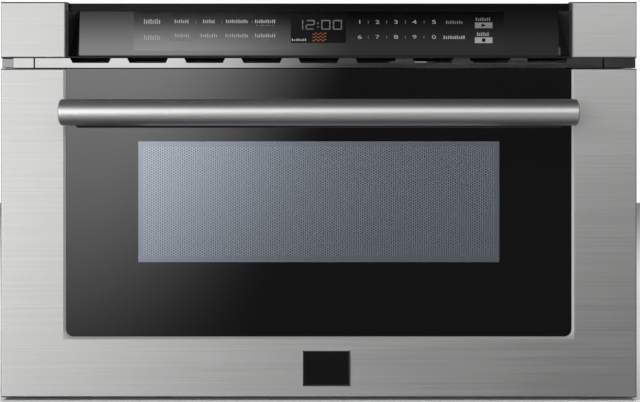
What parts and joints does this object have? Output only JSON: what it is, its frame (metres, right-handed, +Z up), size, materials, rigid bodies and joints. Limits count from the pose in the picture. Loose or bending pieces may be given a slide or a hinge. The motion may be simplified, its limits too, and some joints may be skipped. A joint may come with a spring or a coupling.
{
  "type": "microwave drawer",
  "caption": "Built-in microwave drawer: steel and black glass front with bar handle, tub on telescopic slides, leaning control panel in a recess open above, vented seam and full chassis.",
  "frame": {"origin": "middle of the chassis underside, in the plane of the cabinet face (the front plate's back)", "axes": "+X to the right seen from the front, +Y back into the cabinet, +Z up"},
  "size_m": [0.606, 0.6532, 0.38],
  "materials": {
    "front_steel": "horizontally brushed stainless steel",
    "black_glass": "black tempered glass, high gloss",
    "screen_steel": "fine perforated sheet seen through the window",
    "handle_chrome": "polished stainless bar",
    "badge_black": "plain black plate with a bright rim",
    "black_plastic": "satin black moulding",
    "galvanised": "galvanised sheet",
    "cavity_enamel": "pale grey enamelled sheet",
    "tub_plastic": "pale heat-resistant moulding",
    "tray_ceramic": "glass-ceramic tray",
    "clear_pane": "clear inner pane",
    "zinc_steel": "zinc-plated slide steel",
    "gear_plastic": "acetal, natural colour",
    "mica": "mica board",
    "board_green": "circuit board",
    "motor_steel": "plated motor can",
    "core_steel": "varnished laminations and copper coils",
    "aluminium_can": "plain aluminium",
    "white_plastic": "white moulding",
    "bright_screws": "bright screw heads"
  },
  "bodies": {
    "drawer": {"drawer_frame": "front_steel", "door_glass": "black_glass", "door_pan": "galvanised", "door_inner_panel": "cavity_enamel", "window_screen": "screen_steel", "choke_ring": "galvanised", "choke_cover": "black_plastic", "inner_window": "clear_pane", "handle_bar": "handle_chrome", "handle_posts": "handle_chrome", "badge_plate": "badge_black", "tub": "tub_plastic", "tub_tray": "tray_ceramic", "carrier_left": "zinc_steel", "carrier_right": "zinc_steel", "slide_inner_left": "zinc_steel", "slide_inner_right": "zinc_steel", "rack": "gear_plastic", "door_tongues": "black_plastic", "door_screws": "bright_screws"},
    "slide_left": {"slide_middle_left": "zinc_steel"},
    "slide_right": {"slide_middle_right": "zinc_steel"},
    "pinion": {"drive_pinion": "gear_plastic"},
    "stirrer": {"stirrer_blade": "aluminium_can"},
    "fan": {"fan_wheel": "black_plastic"},
    "chassis": {"front_plate": "galvanised", "cheek_left": "front_steel", "cheek_right": "front_steel", "control_housing": "black_plastic", "control_glass": "black_glass", "touch_board": "board_green", "display_module": "black_plastic", "vent_grille": "front_steel", "seam_brackets": "front_steel", "cavity_shell": "cavity_enamel", "stirrer_dome": "galvanised", "stirrer_cover": "mica", "waveguide": "galvanised", "stirrer_motor": "motor_steel", "magnetron": "motor_steel", "fan_shroud": "black_plastic", "fan_motor": "motor_steel", "transformer": "core_steel", "capacitor": "aluminium_can", "power_board": "board_green", "cavity_lamp": "white_plastic", "base_plate": "galvanised", "side_panel_left": "galvanised", "side_panel_right": "galvanised", "top_cover": "galvanised", "back_cover": "galvanised", "cord_gland": "black_plastic", "slide_outer_left": "zinc_steel", "slide_outer_right": "zinc_steel", "drive_gearbox": "white_plastic", "drive_motor": "motor_steel", "interlock_left": "white_plastic", "interlock_right": "white_plastic", "chassis_screws": "bright_screws"}
  },
  "joints": [
    {"name": "drawer_slide", "type": "slide", "parent": "chassis", "child": "drawer", "axis": [0, -1, 0], "range_m": [0, 0.4]},
    {"name": "slide_left_run", "type": "slide", "parent": "chassis", "child": "slide_left", "axis": [0, -1, 0], "range_m": [0, 0.2]},
    {"name": "slide_right_run", "type": "slide", "parent": "chassis", "child": "slide_right", "axis": [0, -1, 0], "range_m": [0, 0.2]},
    {"name": "pinion_turn", "type": "hinge", "parent": "chassis", "child": "pinion", "pos_m": [0.2027, 0.024, 0.036], "axis": [0, 0, -1], "range_deg": [0, 1530]},
    {"name": "stirrer_spin", "type": "hinge", "parent": "chassis", "child": "stirrer", "pos_m": [0, 0.21, 0.29], "axis": [0, 0, 1], "continuous": true},
    {"name": "fan_spin", "type": "hinge", "parent": "chassis", "child": "fan", "pos_m": [-0.15, 0.545, 0.2], "axis": [0, 1, 0], "continuous": true}
  ],
  "couplings": [
    {"joint": "slide_left_run", "follows": "drawer_slide", "ratio": 0.5},
    {"joint": "slide_right_run", "follows": "drawer_slide", "ratio": 0.5},
    {"joint": "pinion_turn", "follows": "drawer_slide", "rad_per_m": 66.667}
  ]
}
